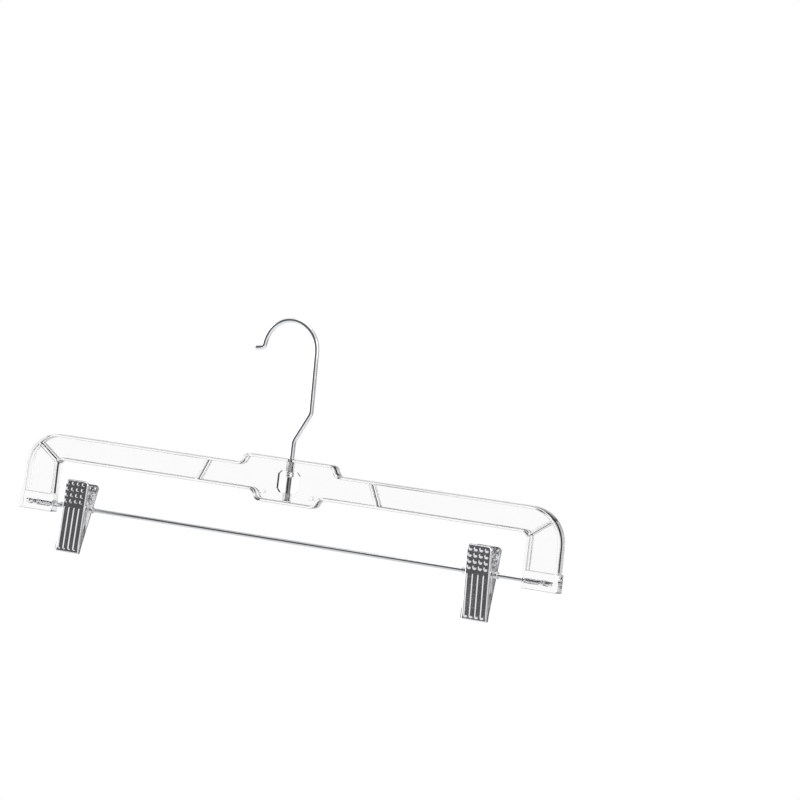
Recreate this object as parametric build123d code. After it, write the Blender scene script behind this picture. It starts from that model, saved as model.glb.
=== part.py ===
from build123d import *
import math
import os

# Skirt hanger: a clear moulded arm with a swivelling wire hook, a steel rod between
# its two legs, and two sprung metal clips that slide and swing on the rod.
# Worked out with X along the rod from the stem, Y to the back and Z up from the rod.
# The finished pieces are moved so that the origin is the hook's seat on the rail.

# Clear moulding, overall
overall_width = 354.6
depth = 7.0
rim = 1.6
web = 2.0
rib = 1.6

# Heights above the rod
arm_bottom = 26.3
arm_top = 41.2
hump_top = 46.9
bulge_bottom = 20.7

# Hump and bulge at the middle of the arm
hump_half_width = 29.3
bulge_half_width = 19.5
ramp_run = 2.1
blend_radius = 4.1

# Legs and lugs
lug_length = 22.1
lug_step = 1.7
leg_splay = 0.7
leg_inner_radius = 3.5
outer_corner_radius = 20.6
lug_top = 5.7
lug_bottom = 4.5

# Ribs across the recess
mid_rib_top_x = 53.1
mid_rib_bottom_x = 59.9
corner_rib_inset = 0.8
gate_mark_x = 15.9
gate_mark_drop = 1.6
gate_mark_radius = 1.4
gate_mark_height = 0.3

# Window and bosses for the stem
window_half_width = 7.1
window_bottom = 27.3
window_top = 39.8
window_chamfer = 2.0
boss_radius = 2.6
stem_floor = 2.0

# Wire hook
wire_diameter = 2.8
stem_bend_height = 57.2
neck_height = 74.0
neck_x = 9.0
arc_centre_x = -9.2
arc_centre_height = 108.2
arc_radius = 17.2
stem_bend_radius = 6.0
neck_bend_radius = 6.0
arc_end_angle = 173.0
tip_drop = 2.2
tip_bend_radius = 2.4
tip_length = 5.4
tip_fall = 0.9
tip_bevel = 0.7
swivel_clearance = 0.06
bend_sides = 10

# Crimped ring on the stem
collar_radius = 2.3
collar_height = 3.0
collar_gap = 0.3
collar_chamfer = 0.5

# Rod
rod_diameter = 2.5
rod_clearance = 0.06
rod_end_gap = 0.3
rod_chamfer = 0.3
bore_end_wall = 3.6
lug_window_inset = 1.4
lug_window_length = 9.0
lug_bridge = 2.9
lug_second_window_length = 3.1

# Clip places along the rod from the legs, and how far each has swung forward, in degrees
left_clip_inset = 15.75
right_clip_inset = 27.25
left_swing = 11.5
right_swing = 2.5

# Clip jaws
sheet = 0.6
front_jaw_width = 15.9
jaw_side_gap = 0.1
jaw_top = 15.5
jaw_tip = 26.8
jaw_top_depth = 6.6
jaw_tip_depth = 0.9
jaw_corner_radius = 2.6
jaw_tip_corner = 0.8
lip_depth = 1.5
ear_radius = 3.0
ear_shoulder = 4.6
ear_clearance = 0.06
flange_end = 14.5
hem_depth = 1.0

# Grip studs above the pivot and pressed ribs below it, all raised from a jaw's face
pressed_pitch = 3.45
pressed_columns = 4
pressed_height = 0.35
pressed_taper = 40
stud_rows = 4
stud_first_z = 2.7
stud_radius = 1.4
stud_sides = 6
jaw_rib_width = 2.4
jaw_rib_corner = 0.8
jaw_rib_top = 0.4
jaw_rib_bottom = 25.4

# Pivot tube of a clip
tube_clearance = 0.08
tube_wall = 0.4
tube_step = 0.25
tube_end_length = 2.4

# Torsion spring
spring_wire = 0.8
spring_clearance = 0.3
spring_pitch = 1.3
spring_turns = 5
spring_sides = 6
spring_leg_length = 10.0
spring_seat_gap = 0.12

# Soft pads in the tips
pad_top = 9.0
pad_face_gap = 0.1
pad_side_gap = 0.6
pad_tip_inset = 0.5

# How far cutting tools run past what they cut
overrun = 1.0

half_depth = depth / 2
half_width = overall_width / 2
leg_inner_x = half_width - lug_length
leg_outer_x = half_width - lug_step
left_clip_x = left_clip_inset - leg_inner_x
right_clip_x = leg_inner_x - right_clip_inset
wire_radius = wire_diameter / 2
rod_radius = rod_diameter / 2
tube_inner_radius = rod_radius + tube_clearance
tube_outer_radius = tube_inner_radius + tube_wall
ear_hole_radius = tube_outer_radius + ear_clearance
rear_jaw_width = front_jaw_width + 2 * (sheet + jaw_side_gap)
seat_height = arc_centre_height + arc_radius - wire_radius


def mirrored(points):
    """Right-hand points followed by their mirror images, as one closed loop."""
    return points + [(-x, z) for x, z in reversed(points)]


def prism(profile, y_low, y_high):
    """A face on the XZ plane made solid from y_low to y_high."""
    return Pos(0, y_high, 0) * extrude(Plane.XZ * profile, y_high - y_low)


def polygon(points):
    """A flat face with straight sides."""
    return make_face(Polyline(*points, close=True))


def strip(start, end, width):
    """A straight bar of a rib's width between two points of the arm's face."""
    (x1, z1), (x2, z2) = start, end
    length = math.hypot(x2 - x1, z2 - z1)
    angle = math.degrees(math.atan2(z2 - z1, x2 - x1))
    centre = Pos((x1 + x2) / 2, (z1 + z2) / 2)
    return centre * Rot(0, 0, angle) * Rectangle(length, width)


# Clear moulding
def body_outline():
    """The arm, legs and lugs seen from the front."""
    bulge_ramp = bulge_half_width + ramp_run
    hump_ramp = hump_half_width + ramp_run
    splayed_x = leg_outer_x + leg_splay
    corners = [
        (bulge_half_width, bulge_bottom, blend_radius),
        (bulge_ramp, arm_bottom, blend_radius),
        (leg_inner_x, arm_bottom, leg_inner_radius),
        (leg_inner_x, -lug_bottom, 0),
        (half_width, -lug_bottom, 0),
        (half_width, lug_top, 0),
        (splayed_x, lug_top, 0),
        (leg_outer_x, arm_top, outer_corner_radius),
        (hump_ramp, arm_top, blend_radius),
        (hump_half_width, hump_top, blend_radius),
    ]
    points = mirrored([(x, z) for x, z, radius in corners])
    radii = [radius for x, z, radius in corners]
    return make_face(FilletPolyline(*points, radius=radii + radii[::-1], close=True))


def window_outline():
    """The chamfered window in the web, which bares the middle of the stem."""
    middle = (window_bottom + window_top) / 2
    opening = Rectangle(2 * window_half_width, window_top - window_bottom)
    return Pos(0, middle) * chamfer(opening.vertices(), window_chamfer)


def recess_outline(outline):
    """What is sunk from each face: the outline inside its rim, less the ribs."""
    recess = offset(outline, -rim, kind=Kind.INTERSECTION)
    recess -= Pos(0, (lug_top - hump_top) / 2) * Rectangle(2 * overall_width, lug_top + hump_top)
    corner_x = leg_outer_x - outer_corner_radius * (1 - math.sqrt(0.5))
    corner_z = arm_top - outer_corner_radius * (1 - math.sqrt(0.5))
    for side in (-1, 1):
        recess -= strip((side * mid_rib_top_x, arm_top), (side * mid_rib_bottom_x, arm_bottom), rib)
        inner = (side * (leg_inner_x + corner_rib_inset), arm_bottom - corner_rib_inset)
        recess -= strip(inner, (side * corner_x, corner_z), rib)
    return recess


def round_bar(x, z_low, z_high, radius):
    """An upright cylinder."""
    return Pos(x, 0, (z_low + z_high) / 2) * Cylinder(radius, z_high - z_low)


def bar_along_x(x_low, x_high, radius):
    """A cylinder along the rod's axis."""
    return Pos((x_low + x_high) / 2, 0, 0) * Rot(0, 90, 0) * Cylinder(radius, x_high - x_low)


def lug_cuts(side):
    """The rod's blind bore in one lug, opened by short windows from front and back."""
    bore_radius = rod_radius + rod_clearance
    bore_end = half_width - bore_end_wall
    bore = bar_along_x(leg_inner_x - overrun, bore_end, bore_radius)
    first = leg_inner_x + lug_window_inset
    first_end = first + lug_window_length
    second = first_end + lug_bridge
    second_end = min(second + lug_second_window_length, bore_end)
    for low, high, face in ((first, first_end, -1), (first_end, second, 1), (second, second_end, -1)):
        reach = half_depth + overrun
        slot = Box(high - low, reach, 2 * bore_radius)
        bore += Pos((low + high) / 2, face * reach / 2, 0) * slot
    if side < 0:
        return mirror(bore, about=Plane.YZ)
    return bore


def hanger_body():
    outline = body_outline()
    body = prism(outline, -half_depth, half_depth)
    recess = recess_outline(outline)
    web_face = web / 2
    body -= prism(recess, -half_depth - overrun, -web_face)
    body -= prism(recess, web_face, half_depth + overrun)
    body -= prism(window_outline(), -half_depth - overrun, half_depth + overrun)
    body += round_bar(0, window_top, hump_top, boss_radius)
    body += round_bar(0, bulge_bottom, window_bottom, boss_radius)
    mark = Rot(90, 0, 0) * Cylinder(gate_mark_radius, web + 2 * gate_mark_height)
    for side in (-1, 1):
        body += Pos(side * gate_mark_x, 0, arm_bottom + gate_mark_drop - rim) * mark
    stem_bore = wire_radius + swivel_clearance
    body -= round_bar(0, bulge_bottom + stem_floor, hump_top + overrun, stem_bore)
    for side in (-1, 1):
        body -= lug_cuts(side)
    return body


# Hook
def arc_point(angle):
    """A point on the hook's arc, from its angle above the horizontal in degrees."""
    turn = math.radians(angle)
    return (arc_centre_x + arc_radius * math.cos(turn), arc_centre_height + arc_radius * math.sin(turn))


def neck_tangent_angle():
    """Angle on the arc where a line from the neck runs into it smoothly."""
    across = neck_x - arc_centre_x
    below = neck_height - arc_centre_height
    reach = math.hypot(across, below)
    return math.degrees(math.atan2(below, across) + math.acos(arc_radius / reach))


def hook_path():
    """Centreline of the wire from the foot of the stem to the turned-out tip."""
    start = neck_tangent_angle()
    arc = CenterArc((arc_centre_x, arc_centre_height), arc_radius, start, arc_end_angle - start)
    rise = FilletPolyline(
        (0, stem_bottom()),
        (0, stem_bend_height),
        (neck_x, neck_height),
        arc_point(start),
        radius=[stem_bend_radius, neck_bend_radius],
    )
    end_x, end_z = arc_point(arc_end_angle)
    heading = math.radians(arc_end_angle + 90)
    corner = (end_x + tip_drop * math.cos(heading), end_z + tip_drop * math.sin(heading))
    turn = FilletPolyline(
        (end_x, end_z),
        corner,
        (corner[0] - tip_length, corner[1] - tip_fall),
        radius=tip_bend_radius,
    )
    return Wire(rise.edges() + [arc] + turn.edges())


def stem_bottom():
    """The stem stops just above the floor of its blind bore."""
    return bulge_bottom + stem_floor + collar_gap


def hook_wire():
    """Flat-sided round its bends, and truly round where the stem turns in its bore."""
    path = Plane.XZ * hook_path()
    section = Plane((0, 0, stem_bottom())) * RegularPolygon(wire_radius, bend_sides)
    wire = sweep(section, path=path)
    tip = wire.faces().sort_by(Axis.X)[0]
    wire = chamfer(tip.edges(), tip_bevel)
    return wire + round_bar(0, stem_bottom(), stem_bend_height - stem_bend_radius, wire_radius)


def hook_collar():
    top = window_top - collar_gap
    ring = round_bar(0, top - collar_height, top, collar_radius)
    ring = chamfer(ring.edges(), collar_chamfer)
    return ring - round_bar(0, top - collar_height - overrun, top + overrun, wire_radius)


# Rod
def clip_rod():
    end = half_width - bore_end_wall - rod_end_gap
    rod = bar_along_x(-end, end, rod_radius)
    return chamfer(rod.edges(), rod_chamfer)


# Jaws, with the plate's outer face towards the front
def plate_depth(z):
    """Distance of the outer face of a jaw in front of the rod's axis at a height."""
    share = (jaw_top - z) / (jaw_top + jaw_tip)
    return jaw_top_depth + (jaw_tip_depth - jaw_top_depth) * share


def plate_lean():
    """Angle between a jaw's plate and the upright, in radians."""
    return math.atan2(jaw_top_depth - jaw_tip_depth, jaw_top + jaw_tip)


def inner_depth(z):
    """Distance of the inner face of a jaw in front of the rod's axis at a height."""
    return plate_depth(z) - sheet / math.cos(plate_lean())


def plate_plane():
    """A plane on the jaw's outer face, level with the rod, its Y up along the face."""
    normal = (0, -math.cos(plate_lean()), -math.sin(plate_lean()))
    return Plane(origin=(0, -plate_depth(0), 0), x_dir=(1, 0, 0), z_dir=normal)


def along_face(z):
    """Distance up the sloping face for a height above the rod."""
    return z / math.cos(plate_lean())


def behind_face(reach):
    """What lies behind a jaw's inner face, out to a distance behind the rod."""
    return polygon([
        (-inner_depth(jaw_top), jaw_top),
        (-inner_depth(-jaw_tip), -jaw_tip),
        (reach, -jaw_tip),
        (reach, jaw_top),
    ])


def side_profile():
    """A jaw seen along the rod: lip, ear round the pivot, and tapered flange."""
    top, tip = jaw_top, -jaw_tip
    ear_reach = ear_radius * math.sqrt(0.5)
    points = [
        (-plate_depth(top), top),
        (-plate_depth(top) + lip_depth, top),
        (-plate_depth(ear_shoulder) + lip_depth, ear_shoulder),
        (ear_reach, ear_reach),
        (ear_reach, -ear_reach),
        (-plate_depth(-flange_end) + hem_depth, -flange_end),
        (-inner_depth(tip), tip),
        (-plate_depth(tip), tip),
    ]
    return polygon(points) + Circle(ear_radius)


def across(profile, width):
    """A profile seen along the rod made solid to a given width, centred."""
    return Pos(-width / 2, 0, 0) * extrude(Plane.YZ * profile, width)


def jaw(width, ear_hole):
    """A stamped jaw of a given width over its side walls."""
    formed = across(side_profile(), width) - across(behind_face(ear_radius + overrun), width - 2 * sheet)
    outline = Pos(0, (jaw_top - jaw_tip) / 2) * Rectangle(width, jaw_top + jaw_tip)
    outline = fillet(outline.vertices().group_by(Axis.Y)[-1], jaw_corner_radius)
    outline = chamfer(outline.vertices().group_by(Axis.Y)[0], jaw_tip_corner)
    formed &= prism(outline, -jaw_top_depth - overrun, ear_radius + overrun)
    return formed - bar_along_x(-width, width, ear_hole)


def pressed_detail(solid):
    """Studs above the pivot and four ribs below it, raised from the outer face."""
    face = plate_plane()
    length = along_face(jaw_rib_bottom - jaw_rib_top)
    rib = chamfer(Rectangle(jaw_rib_width, length).vertices(), jaw_rib_corner)
    rib_middle = along_face(-(jaw_rib_top + jaw_rib_bottom) / 2)
    stud = RegularPolygon(stud_radius, stud_sides)
    for column in range(pressed_columns):
        x = (column - (pressed_columns - 1) / 2) * pressed_pitch
        shapes = [Pos(x, rib_middle) * rib]
        for row in range(stud_rows):
            shapes.append(Pos(x, along_face(stud_first_z + row * pressed_pitch)) * stud)
        for shape in shapes:
            solid += extrude(face * shape, pressed_height, taper=pressed_taper)
    return solid


def to_back(solid):
    """Turned about the upright axis, so a front piece becomes a rear one."""
    return Rot(0, 0, 180) * solid


def front_jaw():
    return pressed_detail(jaw(front_jaw_width, ear_hole_radius))


def rear_jaw():
    return to_back(pressed_detail(jaw(rear_jaw_width, ear_hole_radius)))


# Pivot tube, with wider ends outside the ears
def pivot_tube():
    seat = rear_jaw_width / 2 + jaw_side_gap
    end = seat + tube_end_length
    end_radius = tube_outer_radius + tube_step
    half_profile = [
        (0, tube_outer_radius),
        (seat, tube_outer_radius),
        (seat, end_radius),
        (end, end_radius),
        (end, tube_inner_radius),
        (0, tube_inner_radius),
    ]
    half_tube = revolve(polygon(half_profile), Axis.X)
    return half_tube + mirror(half_tube, about=Plane.YZ)


# Torsion spring
def coil_radius():
    """Centreline radius of the coil, clear of the pivot tube."""
    return tube_outer_radius + spring_clearance + spring_wire / 2


def leg_lean():
    """Angle off upright, in radians, at which a leg runs from the coil to its jaw."""
    seat = inner_depth(spring_leg_length) - spring_seat_gap - spring_wire / 2
    return math.atan2(seat - coil_radius(), spring_leg_length)


def coil_point(turned, sweep_angle):
    """A point on the coil and the wire's heading there, after turning so far in radians."""
    angle = math.pi + leg_lean() + turned
    rise = spring_pitch / math.tau
    x = rise * (turned - sweep_angle / 2)
    point = Vector(x, coil_radius() * math.cos(angle), coil_radius() * math.sin(angle))
    heading = Vector(rise, -coil_radius() * math.sin(angle), coil_radius() * math.cos(angle))
    return point, heading.normalized()


def biarc(start, start_heading, end, end_heading):
    """Two arcs that join two points smoothly along the given headings."""
    chord = end - start
    along = chord.dot(start_heading + end_heading)
    bend = 2 * (1 - start_heading.dot(end_heading))
    reach = (math.sqrt(along * along + bend * chord.dot(chord)) - along) / bend
    first = start + start_heading * reach
    second = end - end_heading * reach
    joint = (first + second) / 2
    middle = (second - first).normalized()
    return [
        Edge.make_tangent_arc(start, start_heading, joint),
        Edge.make_tangent_arc(joint, middle, end),
    ]


def spring_stations(spacing):
    """Points along the coil, no more than a given turn apart, with the wire's headings."""
    sweep_angle = math.tau * spring_turns - math.pi - 2 * leg_lean()
    steps = math.ceil(sweep_angle / spacing)
    return [coil_point(sweep_angle * i / steps, sweep_angle) for i in range(steps + 1)]


def spring():
    """The coil, with a straight leg up to each jaw, as one unbroken wire."""
    stations = spring_stations(math.pi)
    first, first_heading = stations[0]
    last, last_heading = stations[-1]
    foot = first - first_heading * spring_leg_length
    edges = [Edge.make_line(foot, first)]
    for (start, heading), (end, end_heading) in zip(stations, stations[1:]):
        edges += biarc(start, heading, end, end_heading)
    edges.append(Edge.make_line(last, last + last_heading * spring_leg_length))
    section = Plane(origin=foot, z_dir=first_heading) * RegularPolygon(spring_wire / 2, spring_sides)
    return sweep(section, path=Wire(edges))


def least_coil_gap():
    """Least gap between the coil's turns, measured on points a quarter turn apart."""
    points = [point for point, heading in spring_stations(math.pi / 2)]
    gaps = [
        (later - earlier).length - spring_wire
        for index, earlier in enumerate(points)
        for later in points[index + 3:]
    ]
    return min(gaps)


# Pads
def front_pad():
    """A soft wedge on the inner face of the jaw, its gripping face upright."""
    bottom = -(jaw_tip - pad_tip_inset)
    band = Pos(0, (bottom - pad_top) / 2) * Rectangle(2 * jaw_top_depth, -pad_top - bottom)
    return across(behind_face(-pad_face_gap / 2) & band, front_jaw_width - 2 * (sheet + pad_side_gap))


# Putting the pieces in their places
def clip_pieces(side, x, swing):
    """The six pieces of one clip, at its place on the rod."""
    at_rod = Pos(x, 0, 0)
    swung = at_rod * Rot(-swing, 0, 0)
    return {
        side + "_pivot_tube": at_rod * pivot_tube(),
        side + "_rear_jaw": swung * rear_jaw(),
        side + "_front_jaw": swung * front_jaw(),
        side + "_spring": swung * spring(),
        side + "_rear_pad": swung * to_back(front_pad()),
        side + "_front_pad": swung * front_pad(),
    }


pieces = {
    "hook_wire": hook_wire(),
    "hook_collar": hook_collar(),
    "hanger_body": hanger_body(),
    "clip_rod": clip_rod(),
}
pieces |= clip_pieces("left", left_clip_x, left_swing)
pieces |= clip_pieces("right", right_clip_x, right_swing)

to_rail_seat = Pos(-arc_centre_x, 0, -seat_height)
os.makedirs("parts", exist_ok=True)
for name, solid in pieces.items():
    export_step(to_rail_seat * solid, "parts/" + name + ".step")

print("least gap between spring turns, mm:", round(least_coil_gap(), 3))
print("rod axis below rail seat, mm:", round(seat_height, 3))
print("stem axis to the right of rail seat, mm:", round(-arc_centre_x, 3))
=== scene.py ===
import math

import bmesh
import bpy
from mathutils import Matrix, Vector


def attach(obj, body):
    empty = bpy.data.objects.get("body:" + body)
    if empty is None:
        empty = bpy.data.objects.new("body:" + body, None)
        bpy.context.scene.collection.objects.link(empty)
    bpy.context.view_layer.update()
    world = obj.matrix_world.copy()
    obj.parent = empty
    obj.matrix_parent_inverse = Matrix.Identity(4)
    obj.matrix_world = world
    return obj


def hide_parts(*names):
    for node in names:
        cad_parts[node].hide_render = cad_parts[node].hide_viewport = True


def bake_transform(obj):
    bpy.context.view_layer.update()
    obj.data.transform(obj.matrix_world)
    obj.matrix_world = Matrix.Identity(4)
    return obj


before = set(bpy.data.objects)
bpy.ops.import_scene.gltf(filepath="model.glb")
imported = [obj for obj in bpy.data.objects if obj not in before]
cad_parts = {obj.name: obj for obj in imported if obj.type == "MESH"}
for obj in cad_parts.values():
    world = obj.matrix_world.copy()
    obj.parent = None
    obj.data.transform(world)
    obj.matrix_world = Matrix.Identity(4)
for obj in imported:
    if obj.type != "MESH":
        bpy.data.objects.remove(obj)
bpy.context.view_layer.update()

# Pieces are shaped in millimetres, with X along the rod from the stem, Y to the back and
# Z up from the rod, and are then moved so that the origin is the hook's seat on the rail.
MM = 0.001
STEM_X = 9.2
ROD_DROP = 124.0
TO_PART = Matrix.Scale(MM, 4) @ Matrix.Translation((STEM_X, 0, -ROD_DROP))

# Wire hook
WIRE_RADIUS = 1.4
STEM_FOOT = 23.0
STEM_BEND_HEIGHT = 57.2
NECK = Vector((9.0, 74.0))
ARC_CENTRE = Vector((-9.2, 108.2))
ARC_RADIUS = 17.195
WIRE_BEND_RADIUS = 6.0
ARC_END = math.radians(173.0)
TIP_DROP = 2.2
TIP_BEND_RADIUS = 2.4
TIP_RUN = Vector((-5.4, -0.9))
WIRE_SIDES = 28
WIRE_STEP = math.radians(4.0)
STEM_END_REACH = 0.28
TIP_END_REACH = 0.55
TIP_END_LENGTH = 0.5
END_TURNS = (math.radians(30), math.radians(60))
END_DRAW = 0.44

# Crimped ring on the stem
COLLAR_TOP = 39.5
COLLAR_HEIGHT = 3.0
COLLAR_RADIUS = 2.3
COLLAR_WAIST = 2.16
WAIST_TOP = 0.35
WAIST_FOOT = 0.15
COLLAR_EDGE = ((0, 1.85), (0.14, 2.14), (0.4, COLLAR_RADIUS))
COLLAR_SIDES = 48
BARE_WIRE = (1.5, 1.7)

# Clear body
BODY_HALF_DEPTH = 3.5
RIM_ROUNDING = 0.5
RIM_STEPS = 5
SHARPEST_RIM = 0.85
WALL_SLANT = 0.02
NEAR = 1e-7
HUMP_TOP = 46.9

# Rod and the tubes that turn and slide on it
ROD_RADIUS = 1.25
ROD_HALF_LENGTH = 173.4
ROD_EDGE = ((0, 0.3), (0.1, 0.1), (0.3, 0))
ROD_SIDES = 40
TUBE_INNER = 1.33
TUBE_OUTER = 1.73
TUBE_END_RADIUS = 1.98
TUBE_SHOULDER = 8.75
TUBE_END = 11.15
TUBE_EDGE = 0.12

# Clips: place along the rod, and swing forward in radians
CLIPS = {
    "left": (-139.45, math.radians(11.5)),
    "right": (127.95, math.radians(2.5)),
}

# Jaws
SHEET = 0.6
FRONT_WIDTH = 15.9
REAR_WIDTH = 17.3
JAW_TOP = 15.5
JAW_TIP = 26.8
TOP_DEPTH = 6.6
TIP_DEPTH = 0.9
TOP_CORNER = 2.6
TIP_CORNER = 0.8
EDGE_BEND = 1.4
TIP_BEND = 0.5
LIP = 1.5
HEM = 1.0
EAR_RADIUS = 3.0
EAR_SHOULDER = 4.6
FLANGE_END = 14.5
PITCH = 3.45
COLUMNS = 4
STUD_ROWS = 4
FIRST_STUD = 2.7
STUD_RADIUS = 1.55
RIB_HALF_WIDTH = 1.4
PRESSED = 0.39
PRESSED_SHOULDER = 0.8
RIB_TOP = 0.4
RIB_BOTTOM = 25.8
SHEET_EDGE = 0.12
LEAST_EDGE_GAP = 0.15
LEAST_SKIN_GAP = 0.1
LEAST_WALL = 0.05
BEND_TURNS = (0, 15, 30, 45, 60, 75, 90)
PLATE_COLUMNS = 56
WALL_ROWS = 4
# Rows of faces up a jaw, as (low, high, rows)
JAW_BANDS = (
    (TIP_BEND - JAW_TIP, -FLANGE_END - 6, 30),
    (-FLANGE_END - 6, -3.2, 26),
    (-3.2, 1.0, 16),
    (1.0, JAW_TOP - EDGE_BEND, 50),
)

# Torsion spring
SPRING_WIRE = 0.4
COIL_RADIUS = 2.43
COIL_PITCH = 1.3
COIL_TURNS = 5
SPRING_LEG = 10.0
SPRING_SEAT_GAP = 0.12
SPRING_SIDES = 14
COIL_STEPS = 36
SPRING_END = 0.1
SPRING_END_SCALE = 0.8

# Pads
PAD_TOP = 9.0
PAD_BOTTOM = 26.3
PAD_HALF_WIDTH = 6.75
PAD_FACE = 0.05
PAD_COLUMNS = 10
PAD_ROWS = 40
RIPPLE_HEIGHT = 0.06
RIPPLE_PITCH = 1.15

# Stage, in metres
FLOOR_RADIUS = 1.2
FLOOR_HEIGHT = -0.62
CAMERA_DISTANCE = 2.27

# Fine relief of each skin, in metres
METAL_RELIEF = 0.00002
CLEAR_RELIEF = 0.00004
VINYL_RELIEF = 0.00003

# Colours
WHITE = (1, 1, 1, 1)
FLAG_TONE = (0.1, 0.1, 0.105, 1)
METAL_DUST = (0.55, 0.54, 0.52, 1)
VINYL_DUST = (0.7, 0.69, 0.66, 1)
# Painted shade for the clear moulding's edge-on rims.
CLEAR_EDGE_SHADE = (0.12, 0.125, 0.13, 1)


def plate_depth(z):
    """Distance of a jaw's outer face in front of the rod at a height."""
    share = (JAW_TOP - z) / (JAW_TOP + JAW_TIP)
    return TOP_DEPTH + (TIP_DEPTH - TOP_DEPTH) * share


def blend_between(value, stations):
    """Straight-line reading of a table of (place, value) pairs in rising order."""
    for (low, first), (high, last) in zip(stations, stations[1:]):
        if value <= high:
            return first + (last - first) * (value - low) / (high - low)
    return stations[-1][1]


# Piece making
def add_piece(name, bm, material, node, body, smooth):
    """A finished shape as an object that stands for a node and rides on its body, if it has one."""
    mesh = bpy.data.meshes.new(name)
    bm.to_mesh(mesh)
    bm.free()
    if mesh.has_custom_normals:
        mesh.attributes.remove(mesh.attributes["custom_normal"])
    mesh.shade_smooth()
    mesh.set_sharp_from_angle(angle=math.radians(smooth))
    piece = bpy.data.objects.new(name, mesh)
    bpy.context.scene.collection.objects.link(piece)
    piece.data.materials.append(material)
    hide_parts(node)
    if body:
        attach(piece, body)
    return piece


def add_bevel(piece):
    """Rounded edges of a jaw's sheet or of a pad."""
    bevel = piece.modifiers.new("rounded_edges", "BEVEL")
    bevel.width = SHEET_EDGE * MM
    bevel.segments = 2
    bevel.limit_method = "ANGLE"
    bevel.angle_limit = math.radians(60)
    bevel.harden_normals = True


def both_halves(half):
    """A profile of (distance along, radius) points, with its mirror image put before it."""
    return [(-along, radius) for along, radius in reversed(half)] + half


def turned(profile, axis, steps):
    """A closed profile of (distance along, radius) points spun about an axis through the origin."""
    bm = bmesh.new()
    across = Vector((0, 0, 1)) if axis.x else Vector((1, 0, 0))
    corners = [bm.verts.new(axis * along + across * radius) for along, radius in profile]
    edges = [bm.edges.new(pair) for pair in zip(corners, corners[1:] + corners[:1])]
    bmesh.ops.spin(
        bm, geom=corners + edges, cent=(0, 0, 0), axis=axis, dvec=(0, 0, 0),
        angle=math.tau, steps=steps, use_merge=True, use_duplicate=False,
    )
    bmesh.ops.remove_doubles(bm, verts=bm.verts, dist=1e-4)
    bmesh.ops.recalc_face_normals(bm, faces=bm.faces)
    return bm


def extruded(bm, edges):
    """Draws out a row of edges and gives the new vertices and edges, still where the old ones are."""
    made = bmesh.ops.extrude_edge_only(bm, edges=edges)["geom"]
    verts = [g for g in made if isinstance(g, bmesh.types.BMVert)]
    kept = set(verts)
    return verts, [g for g in made if isinstance(g, bmesh.types.BMEdge) and set(g.verts) <= kept]


class Wire:
    """A round wire drawn out of a ring of points: straight runs and bends in the XZ plane."""

    def __init__(self, start, radius, sides):
        self.bm = bmesh.new()
        made = bmesh.ops.create_circle(self.bm, radius=radius, segments=sides, cap_ends=False)
        bmesh.ops.translate(self.bm, verts=made["verts"], vec=(start.x, 0, start.y))
        self.ring = list(self.bm.edges)
        self.place = start.copy()
        self.heading = math.pi / 2
        self.cap(-STEM_END_REACH, radius)

    def cap(self, reach, radius):
        """A gently rounded end on the open ring."""
        along = Vector((math.cos(self.heading), 0, math.sin(self.heading)))
        ring = self.ring
        at = Vector((self.place.x, 0, self.place.y))
        for turn in END_TURNS:
            verts, ring = extruded(self.bm, ring)
            for vert in verts:
                offset = vert.co - at
                offset -= along * offset.dot(along)
                vert.co = at + offset.normalized() * radius * (1 - END_DRAW * (1 - math.cos(turn)))
                vert.co += along * reach * math.sin(turn)
        bmesh.ops.contextual_create(self.bm, geom=ring)

    def forward(self, length, pieces=1):
        """A straight run."""
        along = Vector((math.cos(self.heading), 0, math.sin(self.heading)))
        for _ in range(pieces):
            verts, self.ring = extruded(self.bm, self.ring)
            bmesh.ops.translate(self.bm, verts=verts, vec=along * (length / pieces))
        self.place += Vector((along.x, along.z)) * length

    def bend(self, angle, radius):
        """A bend: a positive angle turns to the left, a negative one to the right."""
        side = 1 if angle > 0 else -1
        left = Vector((-math.sin(self.heading), math.cos(self.heading)))
        centre = self.place + left * side * radius
        verts = list({v for e in self.ring for v in e.verts})
        made = bmesh.ops.spin(
            self.bm, geom=verts + self.ring, cent=(centre.x, 0, centre.y), axis=(0, -1, 0),
            dvec=(0, 0, 0), angle=angle, steps=max(4, round(abs(angle) / WIRE_STEP)),
            use_merge=False, use_duplicate=False,
        )["geom_last"]
        self.ring = [g for g in made if isinstance(g, bmesh.types.BMEdge)]
        self.heading += angle
        out = Vector((math.sin(self.heading), -math.cos(self.heading)))
        self.place = centre + out * side * radius


# Shared finishes
def new_group(name, inputs, outputs):
    """An empty shader node group with named inputs and outputs."""
    group = bpy.data.node_groups.new(name, "ShaderNodeTree")
    for label, kind in inputs:
        group.interface.new_socket(label, in_out="INPUT", socket_type=kind)
    for label, kind in outputs:
        group.interface.new_socket(label, in_out="OUTPUT", socket_type=kind)
    return group


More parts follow.
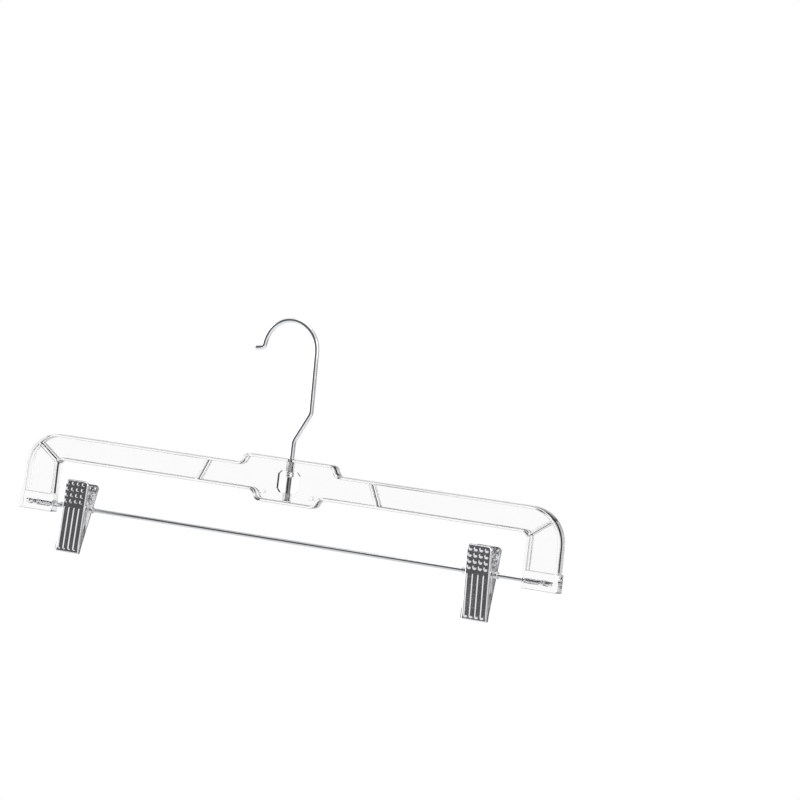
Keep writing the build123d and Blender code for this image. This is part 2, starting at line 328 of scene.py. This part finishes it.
class Nodes:
    """Short ways to add and link the nodes of one tree."""

    def __init__(self, tree):
        self.tree = tree

    def add(self, kind, settings=None, **links):
        """A new node with values set and other nodes' outputs linked to its sockets, by label."""
        node = self.tree.nodes.new("ShaderNode" + kind)
        for label, value in (settings or {}).items():
            node.inputs[label].default_value = value
        for label, source in links.items():
            self.link(source, node.inputs[label])
        return node

    def link(self, source, target):
        self.tree.links.new(source, target)

    def fill(self, socket, value):
        """A socket given a plain value, or linked to another node's output."""
        if isinstance(value, (int, float, tuple)):
            socket.default_value = value
        else:
            self.link(value, socket)

    def maths(self, operation, *values):
        """One sum on values or outputs."""
        node = self.add("Math")
        node.operation = operation
        for socket, value in zip(node.inputs, values):
            self.fill(socket, value)
        return node.outputs[0]

    def total(self, *parts):
        """The sum of (output, share) pairs."""
        shares = [self.maths("MULTIPLY", value, share) for value, share in parts]
        whole = shares[0]
        for share in shares[1:]:
            whole = self.maths("ADD", whole, share)
        return whole

    def ramp(self, value, low, high, start=0.0, end=1.0):
        """A soft step from start to end while the value goes from low to high."""
        limits = {"From Min": low, "From Max": high, "To Min": start, "To Max": end}
        node = self.add("MapRange", limits, Value=value)
        node.interpolation_type = "SMOOTHSTEP"
        return node.outputs[0]

    def mix(self, factor, first, second):
        """A colour between two, which a Mix node takes at its sockets 6 and 7."""
        node = self.add("Mix")
        node.data_type = "RGBA"
        for index, value in ((0, factor), (6, first), (7, second)):
            self.fill(node.inputs[index], value)
        return node.outputs[2]

    def noise(self, vector, scale, detail=3.0, roughness=0.5):
        """Cloudy noise around a half."""
        values = {"Scale": scale, "Detail": detail, "Roughness": roughness}
        return self.add("TexNoise", values, Vector=vector).outputs["Fac"]

    def stretched(self, vector, scale, turn=(0, 0, 0)):
        """Coordinates turned and scaled, so that a noise is drawn out along a direction."""
        return self.add("Mapping", {"Scale": scale, "Rotation": turn}, Vector=vector).outputs["Vector"]


def make_scratch_group():
    """Fine rubbed lines in three directions, as a mask from 0 to 1."""
    group = new_group(
        "rubbed_lines",
        [("Vector", "NodeSocketVector"), ("Density", "NodeSocketFloat")],
        [("Lines", "NodeSocketFloat")],
    )
    nodes = Nodes(group)
    source = group.nodes.new("NodeGroupInput")
    out = group.nodes.new("NodeGroupOutput")
    directions = (
        ((0.3, 0.2, 0.5), (90, 2600, 700)),
        ((0, 0.9, 1.9), (110, 3100, 900)),
        ((1.2, 0, 2.6), (70, 2300, 600)),
    )
    every = None
    for turn, scale in directions:
        field = nodes.noise(nodes.stretched(source.outputs["Vector"], scale, turn), 1.0, 2.0)
        line = nodes.ramp(field, 0.63, 0.72)
        every = line if every is None else nodes.maths("MAXIMUM", every, line)
    scaled = nodes.maths("MULTIPLY", every, source.outputs["Density"])
    nodes.link(scaled, out.inputs["Lines"])
    return group


def make_wear_group():
    """Rubbed edges, handling haze and settled dust, each as a mask."""
    group = new_group(
        "handling_wear",
        [("Vector", "NodeSocketVector"), ("Edge", "NodeSocketFloat")],
        [("Rubbed", "NodeSocketFloat"), ("Haze", "NodeSocketFloat"), ("Dust", "NodeSocketFloat")],
    )
    nodes = Nodes(group)
    source = group.nodes.new("NodeGroupInput")
    out = group.nodes.new("NodeGroupOutput")
    geometry = nodes.add("NewGeometry")
    edge = nodes.ramp(geometry.outputs["Pointiness"], 0.53, 0.62)
    broken = nodes.ramp(nodes.noise(source.outputs["Vector"], 420.0, 4.0, 0.6), 0.35, 0.62)
    rubbed = nodes.maths("MULTIPLY", nodes.maths("MULTIPLY", edge, broken), source.outputs["Edge"])
    haze = nodes.ramp(nodes.noise(source.outputs["Vector"], 62.0, 5.0, 0.58), 0.38, 0.72)
    upward = nodes.add("SeparateXYZ", Vector=geometry.outputs["Normal"]).outputs["Z"]
    settled = nodes.ramp(upward, 0.35, 0.95)
    specks = nodes.ramp(nodes.noise(source.outputs["Vector"], 900.0, 3.0, 0.7), 0.5, 0.7)
    nodes.link(rubbed, out.inputs["Rubbed"])
    nodes.link(haze, out.inputs["Haze"])
    nodes.link(nodes.maths("MULTIPLY", settled, specks), out.inputs["Dust"])
    return group


SCRATCHES = make_scratch_group()
WEAR = make_wear_group()


def new_material(name):
    """An empty material with its Principled shader, output and object coordinates."""
    material = bpy.data.materials.new(name)
    material.use_nodes = True
    material.node_tree.nodes.clear()
    nodes = Nodes(material.node_tree)
    shader = nodes.add("BsdfPrincipled")
    nodes.add("OutputMaterial", Surface=shader.outputs["BSDF"])
    coords = nodes.add("TexCoord").outputs["Object"]
    return material, nodes, shader, coords


def use_group(nodes, group, coords, **values):
    """The outputs of a shared finish, with its own values in this material."""
    node = nodes.add("Group")
    node.node_tree = group
    nodes.link(coords, node.inputs["Vector"])
    for label, value in values.items():
        node.inputs[label].default_value = value
    return node.outputs


def add_bump(nodes, shader, height, distance):
    """Fine relief, whose depth is in metres."""
    bump = nodes.add("Bump", {"Strength": 1.0, "Distance": distance}, Height=height)
    nodes.link(bump.outputs["Normal"], shader.inputs["Normal"])


def add_roughness(nodes, shader, smoothest, *parts):
    """The roughness of clean skin, with (mask, share) pairs on top."""
    nodes.link(nodes.maths("ADD", nodes.total(*parts), smoothest), shader.inputs["Roughness"])


def stem_shade_mask(nodes, coords):
    """Mask of the bare stem where it stands in the clear body, which leaves out the ring on it; there
    the hook's colour is darkened as painted shade.
    """
    place = nodes.add("SeparateXYZ", Vector=coords).outputs
    across = nodes.maths("SUBTRACT", place["X"], STEM_X * MM)
    reach = nodes.total((across, across), (place["Y"], place["Y"]))
    inner, outer = ((radius * MM) ** 2 for radius in BARE_WIRE)
    bare = nodes.ramp(reach, inner, outer, 1.0, 0.0)
    top = (HUMP_TOP - ROD_DROP) * MM
    below = nodes.ramp(place["Z"], top - 0.001, top + 0.0005, 1.0, 0.0)
    return nodes.maths("MULTIPLY", bare, below)


def plated_steel(name, tone, worn_tone, roughness, grain, wear, painted_stem_shade=None):
    """Bright plated steel with drawing or rolling lines, haze, scratches and rubbed edges, and, where a
    stem shade is given, painted shade on the bare stem inside the clear body.
    """
    material, nodes, shader, coords = new_material(name)
    shader.inputs["Metallic"].default_value = 1.0
    masks = use_group(nodes, WEAR, coords, Edge=wear)
    lines = use_group(nodes, SCRATCHES, coords, Density=wear)["Lines"]
    patch = nodes.noise(coords, 140.0, 4.0)
    darker = tuple(c * 0.93 for c in tone[:3]) + (1,)
    base = nodes.mix(nodes.ramp(patch, 0.35, 0.7), tone, darker)
    base = nodes.mix(masks["Rubbed"], base, worn_tone)
    # Painted shade: the bare stem inside the clear body takes a dark base colour.
    if painted_stem_shade:
        base = nodes.mix(stem_shade_mask(nodes, coords), base, painted_stem_shade)
    dusty = nodes.maths("MULTIPLY", masks["Dust"], 0.12 * wear)
    nodes.link(nodes.mix(dusty, base, METAL_DUST), shader.inputs["Base Color"])
    add_roughness(
        nodes, shader, roughness,
        (masks["Haze"], 0.09), (lines, 0.12), (masks["Rubbed"], 0.12), (masks["Dust"], 0.2),
    )
    drawn = nodes.noise(nodes.stretched(coords, grain), 1.0, 2.0)
    add_bump(nodes, shader, nodes.total((drawn, 0.5), (lines, -0.25)), METAL_RELIEF)
    return material


def clear_polystyrene():
    """Glass-clear moulding, with painted shade darkening it where it is seen edge on, and with flow
    lines, haze and scratches.
    """
    material, nodes, shader, coords = new_material("clear_polystyrene")
    shader.inputs["Metallic"].default_value = 0.0
    shader.inputs["Transmission Weight"].default_value = 1.0
    shader.inputs["IOR"].default_value = 1.49
    masks = use_group(nodes, WEAR, coords, Edge=1.0)
    lines = use_group(nodes, SCRATCHES, coords, Density=0.8)["Lines"]
    flow = nodes.noise(nodes.stretched(coords, (28, 60, 240)), 1.0, 3.0)
    tint = nodes.mix(nodes.ramp(flow, 0.35, 0.7), (0.998, 0.999, 1.0, 1), (0.99, 0.993, 0.994, 1))
    worn = nodes.maths("MULTIPLY", masks["Rubbed"], 0.5)
    tint = nodes.mix(worn, tint, (0.93, 0.94, 0.945, 1))
    # Painted shade: the base colour goes to dark grey where the surface is seen edge on.
    slant = nodes.add("LayerWeight", {"Blend": 0.5}).outputs["Facing"]
    nodes.link(nodes.mix(nodes.ramp(slant, 0.35, 0.75), tint, CLEAR_EDGE_SHADE), shader.inputs["Base Color"])
    add_roughness(
        nodes, shader, 0.015,
        (masks["Haze"], 0.05), (lines, 0.12), (masks["Rubbed"], 0.15), (masks["Dust"], 0.15),
    )
    height = nodes.maths("SUBTRACT", flow, nodes.maths("MULTIPLY", lines, 0.12))
    add_bump(nodes, shader, height, CLEAR_RELIEF)
    return material


def soft_vinyl():
    """Milky clear vinyl with a matt skin, moulding grain and picked-up lint."""
    material, nodes, shader, coords = new_material("milky_vinyl")
    shader.inputs["Metallic"].default_value = 0.0
    shader.inputs["Transmission Weight"].default_value = 0.15
    shader.inputs["IOR"].default_value = 1.5
    masks = use_group(nodes, WEAR, coords, Edge=0.6)
    clouds = nodes.noise(coords, 260.0, 4.0)
    tone = nodes.mix(nodes.ramp(clouds, 0.35, 0.7), (0.9, 0.9, 0.885, 1), (0.83, 0.83, 0.81, 1))
    nodes.link(nodes.mix(masks["Dust"], tone, VINYL_DUST), shader.inputs["Base Color"])
    add_roughness(nodes, shader, 0.32, (masks["Haze"], 0.15))
    add_bump(nodes, shader, nodes.noise(coords, 2600.0), VINYL_RELIEF)
    return material


# The hook's stem inside the clear body gets painted shade in its base colour.
HOOK_STEEL = plated_steel(
    "hook_plating", (0.84, 0.85, 0.86, 1), worn_tone=(0.5, 0.5, 0.51, 1), roughness=0.09,
    grain=(900, 900, 60), wear=0.4, painted_stem_shade=(0.28, 0.28, 0.285, 1),
)
ROD_STEEL = plated_steel(
    "rod_plating", (0.72, 0.73, 0.75, 1), worn_tone=(0.45, 0.45, 0.46, 1), roughness=0.1,
    grain=(45, 1500, 1500), wear=0.4,
)
JAW_STEEL = plated_steel(
    "jaw_plating", (0.85, 0.855, 0.87, 1), worn_tone=(0.75, 0.75, 0.76, 1), roughness=0.1,
    grain=(1400, 200, 90), wear=1.0,
)
TUBE_STEEL = plated_steel(
    "tube_steel", (0.9, 0.9, 0.91, 1), worn_tone=(0.7, 0.7, 0.7, 1), roughness=0.25,
    grain=(60, 1500, 1500), wear=0.8,
)
SPRING_STEEL = plated_steel(
    "spring_wire", (0.42, 0.42, 0.43, 1), worn_tone=(0.34, 0.33, 0.32, 1), roughness=0.24,
    grain=(300, 900, 900), wear=1.0,
)
CLEAR = clear_polystyrene()
VINYL = soft_vinyl()


# Hook
def make_hook():
    """The wire from the foot of its stem to its turned-out tip."""
    reach = NECK - ARC_CENTRE
    arc_start = math.atan2(reach.y, reach.x) + math.acos(ARC_RADIUS / reach.length)
    lean = math.atan2(NECK.y - STEM_BEND_HEIGHT, NECK.x) - math.pi / 2
    neck_turn = arc_start - lean
    stem_tangent = WIRE_BEND_RADIUS * math.tan(abs(lean) / 2)
    neck_tangent = WIRE_BEND_RADIUS * math.tan(neck_turn / 2)
    wire = Wire(Vector((0, STEM_FOOT)), WIRE_RADIUS, WIRE_SIDES)
    wire.forward(STEM_BEND_HEIGHT - STEM_FOOT - stem_tangent, pieces=6)
    wire.bend(lean, WIRE_BEND_RADIUS)
    slope = math.hypot(NECK.x, NECK.y - STEM_BEND_HEIGHT)
    wire.forward(slope - stem_tangent - neck_tangent, pieces=3)
    wire.bend(neck_turn, WIRE_BEND_RADIUS)
    wire.forward(math.sqrt(reach.length ** 2 - ARC_RADIUS ** 2) - neck_tangent, pieces=5)
    wire.bend(ARC_END - arc_start, ARC_RADIUS)
    tip_turn = math.atan2(TIP_RUN.y, TIP_RUN.x) + math.tau - (ARC_END + math.pi / 2)
    tip_tangent = TIP_BEND_RADIUS * math.tan(abs(tip_turn) / 2)
    wire.forward(TIP_DROP - tip_tangent)
    wire.bend(tip_turn, TIP_BEND_RADIUS)
    wire.forward(TIP_RUN.length - tip_tangent - TIP_END_LENGTH)
    wire.cap(TIP_END_REACH, WIRE_RADIUS)
    bmesh.ops.recalc_face_normals(wire.bm, faces=wire.bm.faces)
    wire.bm.transform(TO_PART)
    add_piece("hook", wire.bm, HOOK_STEEL, "hook_wire", "hook", smooth=60)


def make_collar():
    """The crimped ring, with rounded edges and a waist where it was pressed."""
    half = COLLAR_HEIGHT / 2
    upper = [(WAIST_FOOT, COLLAR_WAIST), (WAIST_TOP, COLLAR_RADIUS)]
    upper += [(half - inset, radius) for inset, radius in reversed(COLLAR_EDGE)]
    upper.append((half, WIRE_RADIUS))
    bm = turned(both_halves(upper), Vector((0, 0, 1)), COLLAR_SIDES)
    bm.transform(TO_PART @ Matrix.Translation((0, 0, COLLAR_TOP - half)))
    add_piece("hook_ring", bm, HOOK_STEEL, "hook_collar", "hook", smooth=35)


def make_rod():
    """The rod, with its ends broken."""
    half = [(ROD_HALF_LENGTH - inset, ROD_RADIUS - draw) for inset, draw in reversed(ROD_EDGE)]
    half.append((ROD_HALF_LENGTH, 0))
    bm = turned(both_halves(half), Vector((1, 0, 0)), ROD_SIDES)
    bm.transform(TO_PART)
    add_piece("rod", bm, ROD_STEEL, "clip_rod", "frame", smooth=50)


def round_rims(bm, side):
    """Draws the walls in, step by step towards the flat face on one side, to round their edges."""
    face = BODY_HALF_DEPTH * MM
    rounding = RIM_ROUNDING * MM
    for step in range(RIM_STEPS):
        everything = bm.verts[:] + bm.edges[:] + bm.faces[:]
        depth = face - rounding * (1 - math.sin(math.pi / 2 * step / RIM_STEPS))
        bmesh.ops.bisect_plane(
            bm, geom=everything, dist=NEAR, plane_co=(0, side * depth, 0), plane_no=(0, 1, 0),
        )
    bm.normal_update()
    moves = {}
    for vert in bm.verts:
        past = side * vert.co.y - (face - rounding)
        if past < NEAR:
            continue
        walls = [f.normal for f in vert.link_faces if abs(f.normal.y) < WALL_SLANT]
        if not walls:
            continue
        furthest = min(walls, key=walls[0].dot)
        outward = (walls[0] + furthest).normalized()
        draw = rounding - math.sqrt(max(0.0, rounding ** 2 - past ** 2))
        moves[vert] = outward * draw / max(outward.dot(furthest), SHARPEST_RIM)
    for vert, move in moves.items():
        vert.co -= move


def make_body():
    """The clear moulding, with its rims rounded as a mould leaves them."""
    bm = bmesh.new()
    bm.from_mesh(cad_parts["hanger_body"].data)
    bmesh.ops.remove_doubles(bm, verts=bm.verts, dist=1e-6)
    for side in (-1, 1):
        round_rims(bm, side)
    add_piece("clear_body", bm, CLEAR, "hanger_body", "frame", smooth=30)


# Clips
def side_reach(z):
    """How far back a jaw's side wall reaches at a height."""
    ear = EAR_RADIUS * math.sqrt(0.5)
    if abs(z) <= ear:
        return math.sqrt(EAR_RADIUS ** 2 - z * z)
    if z > 0:
        low, high = (ear, ear), (EAR_SHOULDER, LIP - plate_depth(EAR_SHOULDER))
        if z > EAR_SHOULDER:
            return LIP - plate_depth(z)
        return blend_between(z, (low, high))
    flange = HEM - plate_depth(-FLANGE_END)
    tip = SHEET - plate_depth(-JAW_TIP)
    return blend_between(z, ((-JAW_TIP, tip), (-FLANGE_END, flange), (-ear, ear)))


def spread(low, high, count):
    """Evenly spaced stations from low towards high, leaving out the last."""
    return [low + (high - low) * k / count for k in range(count)]


def pressed_height(x, z):
    """How far the studs and ribs stand out of the plate at a place on it."""
    column = round(x / PITCH + (COLUMNS - 1) / 2)
    column = min(max(column, 0), COLUMNS - 1)
    across = x - (column - (COLUMNS - 1) / 2) * PITCH
    row = min(max(round((z - FIRST_STUD) / PITCH), 0), STUD_ROWS - 1)
    stud = math.hypot(across, z - FIRST_STUD - row * PITCH) / STUD_RADIUS
    ends = (-RIB_BOTTOM + RIB_HALF_WIDTH, -RIB_TOP - RIB_HALF_WIDTH)
    past = z - min(max(z, ends[0]), ends[1])
    rib = math.hypot(across, past) / RIB_HALF_WIDTH
    nearest = min(stud, rib)
    if nearest >= 1:
        return 0.0
    return PRESSED * (0.5 + 0.5 * math.cos(math.pi * nearest)) ** PRESSED_SHOULDER


def edge_stations(outer, bend=EDGE_BEND):
    """Stations across a bent edge, from the flat outwards to the edge itself."""
    return [outer - bend * (1 - math.sin(math.radians(turn))) for turn in BEND_TURNS]


def bent_back(inset, bend):
    """How far a bent edge has turned back at a distance in from the edge."""
    turned_in = min(max(0.0, bend - inset), bend)
    return bend - math.sqrt(bend ** 2 - turned_in ** 2)


def edge_depth(z):
    """Depth of the bend along a jaw's sides, which gets less where the jaws meet at the tip."""
    return min(EDGE_BEND, plate_depth(z) - LEAST_EDGE_GAP)


def jaw_shape(width):
    """One jaw's outer skin, facing the front, to be given its thickness by Solidify."""
    half = width / 2
    flat = half - EDGE_BEND
    across = [-x for x in reversed(edge_stations(half))][:-1]
    across += spread(-flat, flat, PLATE_COLUMNS) + edge_stations(half)
    up = [-z for z in reversed(edge_stations(JAW_TIP, TIP_BEND))][:-1]
    for band in JAW_BANDS:
        up += spread(*band)
    up += edge_stations(JAW_TOP)
    bm = bmesh.new()
    bmesh.ops.create_grid(bm, x_segments=len(across) - 1, y_segments=len(up) - 1, size=1)
    sides = []
    for vert in bm.verts:
        column = round((vert.co.x + 1) / 2 * (len(across) - 1))
        row = round((vert.co.y + 1) / 2 * (len(up) - 1))
        x, z = across[column], up[row]
        for corner, limit, sign in ((TOP_CORNER, JAW_TOP, 1), (TIP_CORNER, JAW_TIP, -1)):
            a = (abs(x) - half + corner) / corner
            b = (sign * z - limit + corner) / corner
            if a > 0 and b > 0:
                sign_x = 1 if x > 0 else -1
                x = sign_x * (half - corner + corner * a * math.sqrt(1 - b * b / 2))
                z = sign * (limit - corner + corner * b * math.sqrt(1 - a * a / 2))
        a, b = abs(x) - half + TOP_CORNER, z - JAW_TOP + TOP_CORNER
        inset = TOP_CORNER - (math.hypot(a, b) if a > 0 and b > 0 else max(a, b))
        back = bent_back(inset, EDGE_BEND) * edge_depth(z) / EDGE_BEND
        back = min(back + bent_back(z + JAW_TIP, TIP_BEND), plate_depth(z) - LEAST_SKIN_GAP)
        vert.co = (x, -plate_depth(z) + back - pressed_height(x, z), z)
        if row > 0 and (column in (0, len(across) - 1) or row == len(up) - 1):
            sides.append(vert)
    rim = set(sides)
    edges = [e for e in bm.edges if e.is_boundary and e.verts[0] in rim and e.verts[1] in rim]
    for row in range(WALL_ROWS):
        verts, edges = extruded(bm, edges)
        for vert in verts:
            start = -plate_depth(vert.co.z) + edge_depth(vert.co.z)
            end = max(side_reach(vert.co.z), start + LEAST_WALL)
            vert.co.y = start + (end - start) * (row + 1) / WALL_ROWS
    bmesh.ops.recalc_face_normals(bm, faces=bm.faces)
    front = min(bm.faces, key=lambda f: (f.calc_center_median() - Vector((0, -5, -10))).length)
    if front.normal.y > 0:
        bmesh.ops.reverse_faces(bm, faces=bm.faces)
    return bm


def make_jaw(side, place, facing):
    """One jaw of pressed sheet; the rear one is the same shape, a little wider and turned round."""
    rear = facing == "rear"
    bm = jaw_shape(REAR_WIDTH if rear else FRONT_WIDTH)
    if rear:
        bm.transform(Matrix.Rotation(math.pi, 4, "Z"))
    bm.transform(TO_PART @ place)
    node = side + "_" + facing + "_jaw"
    body = side + ("_clip" if rear else "_lever")
    piece = add_piece(node + "_plate", bm, JAW_STEEL, node, body, smooth=60)
    wall = piece.modifiers.new("sheet", "SOLIDIFY")
    wall.thickness = SHEET * MM
    wall.offset = -1
    wall.use_even_offset = True
    add_bevel(piece)


def make_tube(side, x):
    """The pivot tube, its ends wider outside the ears and rounded over."""
    end, edge = TUBE_END, TUBE_EDGE
    half = [
        (TUBE_SHOULDER, TUBE_OUTER), (TUBE_SHOULDER, TUBE_END_RADIUS - edge),
        (TUBE_SHOULDER + edge, TUBE_END_RADIUS), (end - edge, TUBE_END_RADIUS),
        (end, TUBE_END_RADIUS - edge), (end, TUBE_INNER + edge), (end - edge, TUBE_INNER),
    ]
    bm = turned(both_halves(half), Vector((1, 0, 0)), ROD_SIDES)
    bm.transform(TO_PART @ Matrix.Translation((x, 0, 0)))
    node = side + "_pivot_tube"
    add_piece(node + "_turned", bm, TUBE_STEEL, node, side + "_slider", smooth=35)


def make_spring(side, place):
    """The coil and its two legs, one unbroken wire."""
    seat = plate_depth(SPRING_LEG) - SHEET - SPRING_SEAT_GAP - SPRING_WIRE
    lean = math.atan2(seat - COIL_RADIUS, SPRING_LEG)
    sweep = math.tau * COIL_TURNS - math.pi - 2 * lean
    rise = COIL_PITCH / math.tau
    start = math.pi + lean
    first = Vector((-rise * sweep / 2, COIL_RADIUS * math.cos(start), COIL_RADIUS * math.sin(start)))
    heading = Vector((rise, -COIL_RADIUS * math.sin(start), COIL_RADIUS * math.cos(start))).normalized()
    bm = bmesh.new()
    made = bmesh.ops.create_circle(bm, radius=SPRING_WIRE, segments=SPRING_SIDES, cap_ends=False)
    turn = heading.to_track_quat("Z", "X").to_matrix().to_4x4()
    bmesh.ops.transform(bm, matrix=Matrix.Translation(first) @ turn, verts=made["verts"])
    ring = list(bm.edges)
    verts = list(bm.verts)
    steps = COIL_TURNS * COIL_STEPS
    last = bmesh.ops.spin(
        bm, geom=verts + ring, cent=(0, 0, 0), axis=(1, 0, 0), dvec=(rise * sweep / steps, 0, 0),
        angle=sweep, steps=steps, use_merge=False, use_duplicate=False,
    )["geom_last"]
    last_ring = [g for g in last if isinstance(g, bmesh.types.BMEdge)]
    last_heading = Matrix.Rotation(sweep, 3, "X") @ heading
    for edges, along in ((ring, -heading), (last_ring, last_heading)):
        for length in (SPRING_LEG - SPRING_END, SPRING_END):
            new, edges = extruded(bm, edges)
            bmesh.ops.translate(bm, verts=new, vec=along * length)
        centre = sum((v.co for v in new), Vector()) / len(new)
        narrower = Vector((1, 1, 1)) * SPRING_END_SCALE
        bmesh.ops.scale(bm, verts=new, vec=narrower, space=Matrix.Translation(-centre))
        bmesh.ops.contextual_create(bm, geom=edges)
    bmesh.ops.recalc_face_normals(bm, faces=bm.faces)
    bm.transform(TO_PART @ place)
    node = side + "_spring"
    piece = add_piece(node + "_wire", bm, SPRING_STEEL, node, None, smooth=60)
    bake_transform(piece)


def make_pad(side, place, facing):
    """A soft wedge in a jaw's tip, with rounded edges and a ribbed gripping face."""
    bm = bmesh.new()
    bmesh.ops.create_grid(bm, x_segments=PAD_COLUMNS, y_segments=PAD_ROWS, size=1)
    for vert in bm.verts:
        x = vert.co.x * PAD_HALF_WIDTH
        z = -PAD_BOTTOM + (vert.co.y + 1) / 2 * (PAD_BOTTOM - PAD_TOP)
        ripple = RIPPLE_HEIGHT * (1 + math.cos(math.tau * (z + PAD_TOP) / RIPPLE_PITCH))
        vert.co = (x, -PAD_FACE - ripple, z)
    back = bmesh.ops.extrude_face_region(bm, geom=list(bm.faces))["geom"]
    sheet_along_y = SHEET / math.cos(math.atan2(TOP_DEPTH - TIP_DEPTH, JAW_TOP + JAW_TIP))
    for vert in (g for g in back if isinstance(g, bmesh.types.BMVert)):
        vert.co.y = sheet_along_y - plate_depth(vert.co.z)
    bmesh.ops.recalc_face_normals(bm, faces=bm.faces)
    if facing == "rear":
        bm.transform(Matrix.Rotation(math.pi, 4, "Z"))
    bm.transform(TO_PART @ place)
    node = side + "_" + facing + "_pad"
    body = side + ("_clip" if facing == "rear" else "_lever")
    piece = add_piece(node + "_grip", bm, VINYL, node, body, smooth=50)
    add_bevel(piece)


make_body()
make_hook()
make_collar()
make_rod()
for side, (x, swing) in CLIPS.items():
    place = Matrix.Translation((x, 0, 0)) @ Matrix.Rotation(-swing, 4, "X")
    make_tube(side, x)
    make_spring(side, place)
    for facing in ("rear", "front"):
        make_jaw(side, place, facing)
        make_pad(side, place, facing)


# Stage, light and camera
def make_floor():
    """A plain pale floor some way under the hanging object."""
    bm = bmesh.new()
    bmesh.ops.create_circle(bm, cap_ends=True, radius=FLOOR_RADIUS, segments=96)
    bmesh.ops.translate(bm, verts=bm.verts, vec=(0, 0, FLOOR_HEIGHT))
    mesh = bpy.data.meshes.new("floor")
    bm.to_mesh(mesh)
    bm.free()
    floor = bpy.data.objects.new("floor", mesh)
    bpy.context.scene.collection.objects.link(floor)
    material, nodes, shader, coords = new_material("pale_floor")
    cloudy = nodes.ramp(nodes.noise(coords, 3.0), 0.3, 0.7)
    tone = nodes.mix(cloudy, (0.86, 0.86, 0.86, 1), (0.83, 0.83, 0.83, 1))
    nodes.link(tone, shader.inputs["Base Color"])
    shader.inputs["Roughness"].default_value = 0.7
    mesh.materials.append(material)


def add_lamp(name, place, target, size, power):
    """A soft lamp, aimed at a point."""
    light = bpy.data.lights.new(name, "AREA")
    light.shape = "RECTANGLE"
    light.size, light.size_y = size
    light.energy = power
    lamp = bpy.data.objects.new(name, light)
    bpy.context.scene.collection.objects.link(lamp)
    lamp.location = place
    lamp.rotation_euler = (Vector(target) - Vector(place)).to_track_quat("-Z", "Y").to_euler()


def make_world():
    """White all round. Glossy skins also show soft dark flags, and clear edges a dark ceiling."""
    world = bpy.data.worlds.new("studio")
    bpy.context.scene.world = world
    world.use_nodes = True
    world.node_tree.nodes.clear()
    nodes = Nodes(world.node_tree)
    rays = nodes.add("LightPath").outputs
    ways = nodes.add("TexCoord").outputs["Generated"]
    parts = nodes.add("SeparateXYZ", Vector=ways).outputs
    across, depth, height = parts["X"], parts["Y"], parts["Z"]
    level = nodes.ramp(nodes.maths("ABSOLUTE", height), 0.55, 0.8, 1.0, 0.0)

    def flag(mask, *limits):
        """A part of a mask, held within soft limits on each direction."""
        for value, *ends in limits:
            mask = nodes.maths("MULTIPLY", mask, nodes.ramp(value, *ends))
        return mask

    ahead, behind = (depth, -0.25, -0.05, 1.0, 0.0), (depth, 0.1, 0.3)
    front = flag(level, (across, -0.83, -0.73), (across, 0.3, 0.62, 1.0, 0.0), ahead)
    back = flag(level, (across, -0.25, -0.1), (across, 0.46, 0.52, 1.0, 0.0), behind)
    corner = flag(level, (across, 0.58, 0.64), (across, 0.82, 0.9, 1.0, 0.0), behind)
    side = flag(level, (across, 0.86, 0.94))
    mirrored = nodes.mix(front, WHITE, FLAG_TONE)
    mirrored = nodes.mix(nodes.maths("ADD", back, corner), mirrored, (0.2, 0.2, 0.205, 1))
    mirrored = nodes.mix(side, mirrored, (0.45, 0.45, 0.455, 1))
    refracted = nodes.mix(nodes.ramp(height, 0.2, 0.45), WHITE, FLAG_TONE)
    colour = nodes.mix(rays["Is Glossy Ray"], (0.8, 0.8, 0.8, 1), mirrored)
    colour = nodes.mix(rays["Is Transmission Ray"], colour, refracted)
    colour = nodes.mix(rays["Is Camera Ray"], colour, WHITE)
    background = nodes.add("Background", {"Strength": 1.0}, Color=colour)
    nodes.add("OutputWorld", Surface=background.outputs[0])


def add_camera():
    """The camera where the photograph was taken from, with its roll."""
    right = Vector((0.87455, 0.47001, 0.11935))
    up = Vector((-0.12270, -0.02362, 0.99216))
    back = Vector((0.46915, -0.88234, 0.03701))
    target = Vector((0.0740, 0, -0.0352))
    data = bpy.data.cameras.new("camera")
    data.lens = 182.0
    data.sensor_width = 36
    camera = bpy.data.objects.new("camera", data)
    bpy.context.scene.collection.objects.link(camera)
    axes = Matrix((right, up, back)).transposed().to_4x4()
    camera.matrix_world = Matrix.Translation(target + back * CAMERA_DISTANCE) @ axes
    data.clip_start, data.clip_end = 0.05, 20
    bpy.context.scene.camera = camera


make_floor()
make_world()
add_lamp("left_softbox", (-1.5, 0.25, 0.1), (0, 0, -0.1), (0.6, 1.2), 6)
add_lamp("right_softbox", (1.5, -0.3, 0.5), (0, 0, -0.05), (0.8, 1.0), 6)
add_lamp("top_softbox", (0, 0.2, 1.5), (0, 0, -0.05), (1.2, 0.8), 6)
add_camera()
bpy.context.scene.view_settings.view_transform = "Standard"
